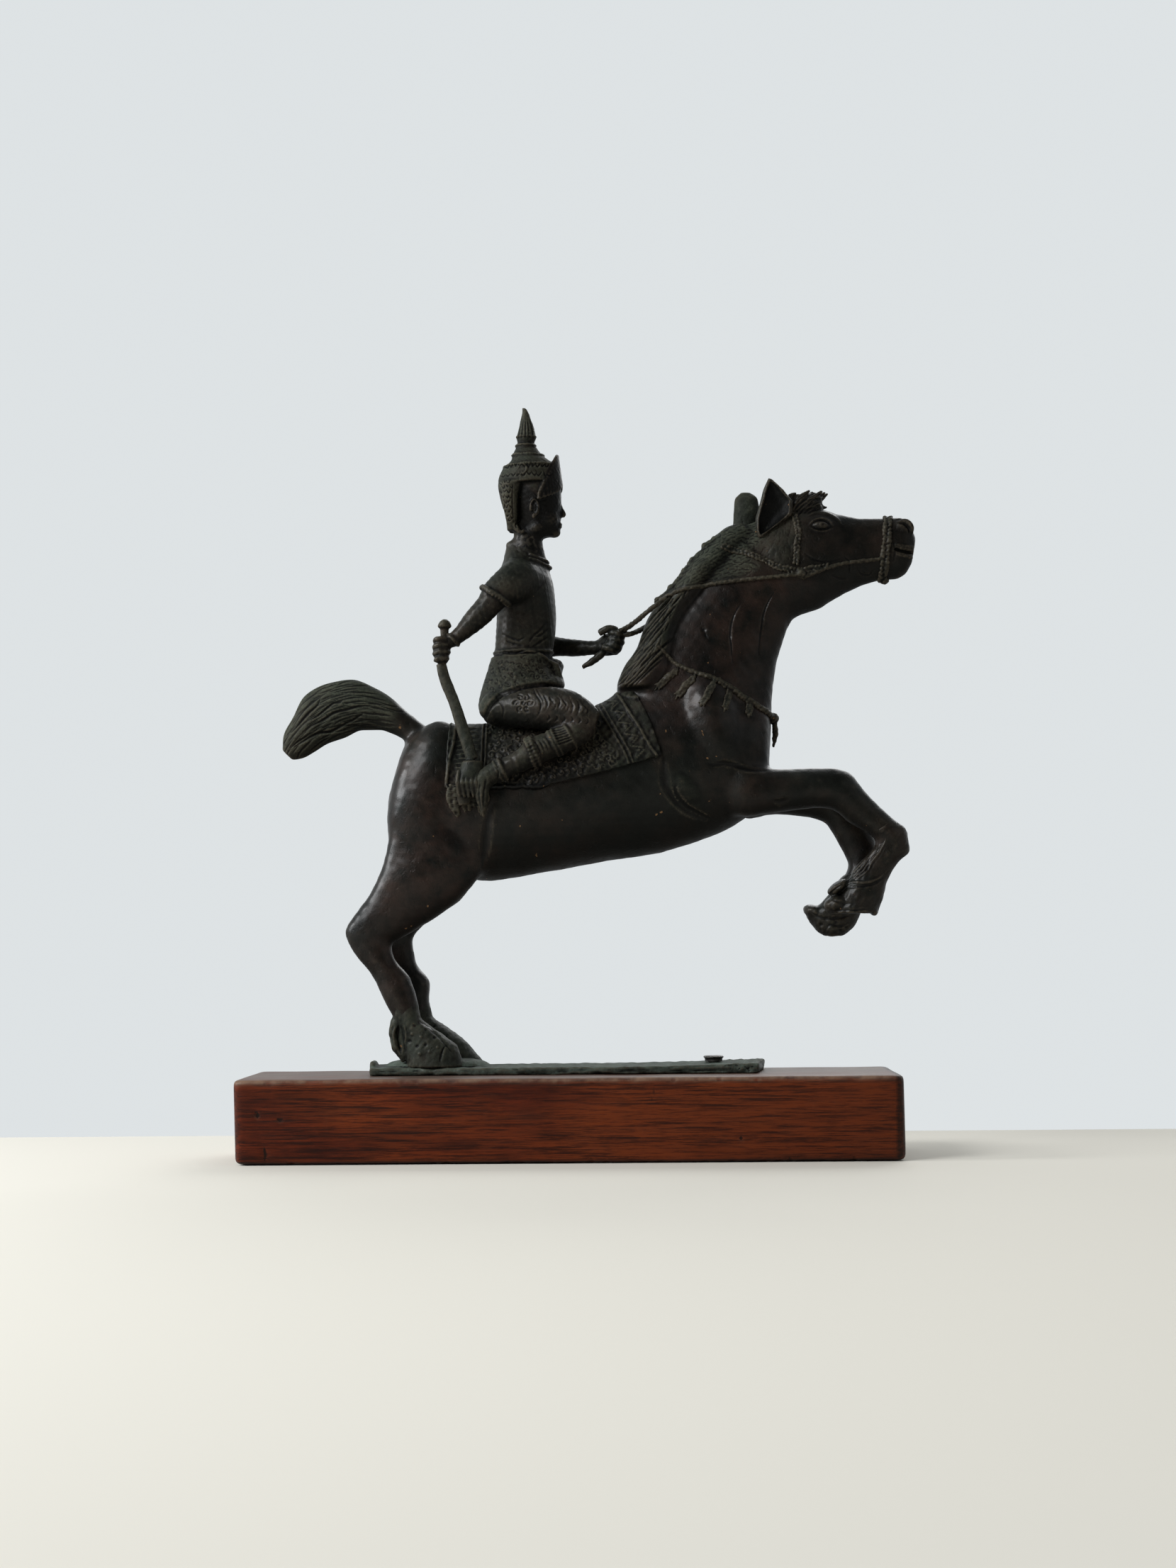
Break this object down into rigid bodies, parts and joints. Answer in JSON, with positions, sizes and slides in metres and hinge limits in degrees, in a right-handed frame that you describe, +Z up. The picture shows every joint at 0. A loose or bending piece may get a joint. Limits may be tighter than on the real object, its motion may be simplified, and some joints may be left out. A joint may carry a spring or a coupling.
{
  "type": "equestrian statuette",
  "caption": "Dark bronze rearing horse with a crowned Southeast Asian style rider, reins and sheathed sword, cast with a thin ground plate and screwed to a long wooden plinth.",
  "frame": {"origin": "middle of the plinth's underside", "axes": "+Z up, +X the way the horse faces, -Y the horse's right side, which the picture shows"},
  "size_m": [0.4704, 0.112, 0.5218],
  "materials": {
    "wood_plinth": "waxed reddish-brown hardwood with dark grain, worn dark edges",
    "patinated_bronze": "near-black brown patina, polished on smooth parts, olive-grey dust and verdigris in the relief",
    "blackened_steel": "blackened"
  },
  "bodies": {
    "root": {"plinth": "wood_plinth", "horse_and_rider": "patinated_bronze", "fixing_screw": "blackened_steel"}
  },
  "joints": []
}
